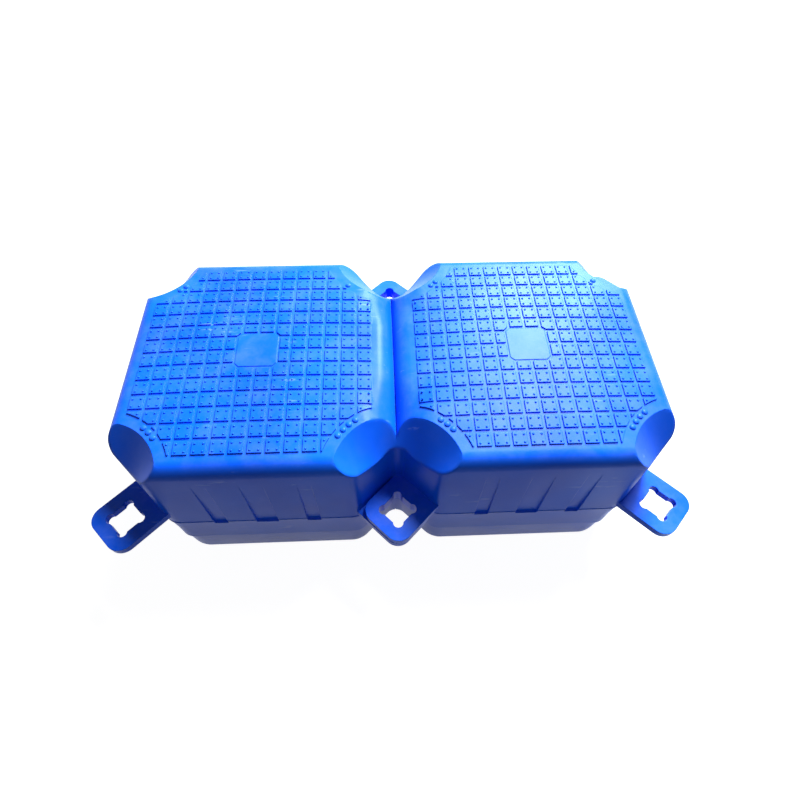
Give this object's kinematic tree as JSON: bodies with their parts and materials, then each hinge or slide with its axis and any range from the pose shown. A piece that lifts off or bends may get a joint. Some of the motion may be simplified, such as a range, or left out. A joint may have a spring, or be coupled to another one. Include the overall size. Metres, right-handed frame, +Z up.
{
  "type": "floating dock cube",
  "caption": "Blue double dock float with a tread of raised tiles, conical scoops over its ears and lobed pin holes.",
  "frame": {"origin": "centre of the underside", "axes": "+X along the two cubes, +Y away from the side with the two lowest ears, +Z up to the deck"},
  "size_m": [1.1204, 0.6204, 0.403],
  "materials": {
    "hull": "satin"
  },
  "bodies": {
    "root": {"double_float": "hull"}
  },
  "joints": []
}
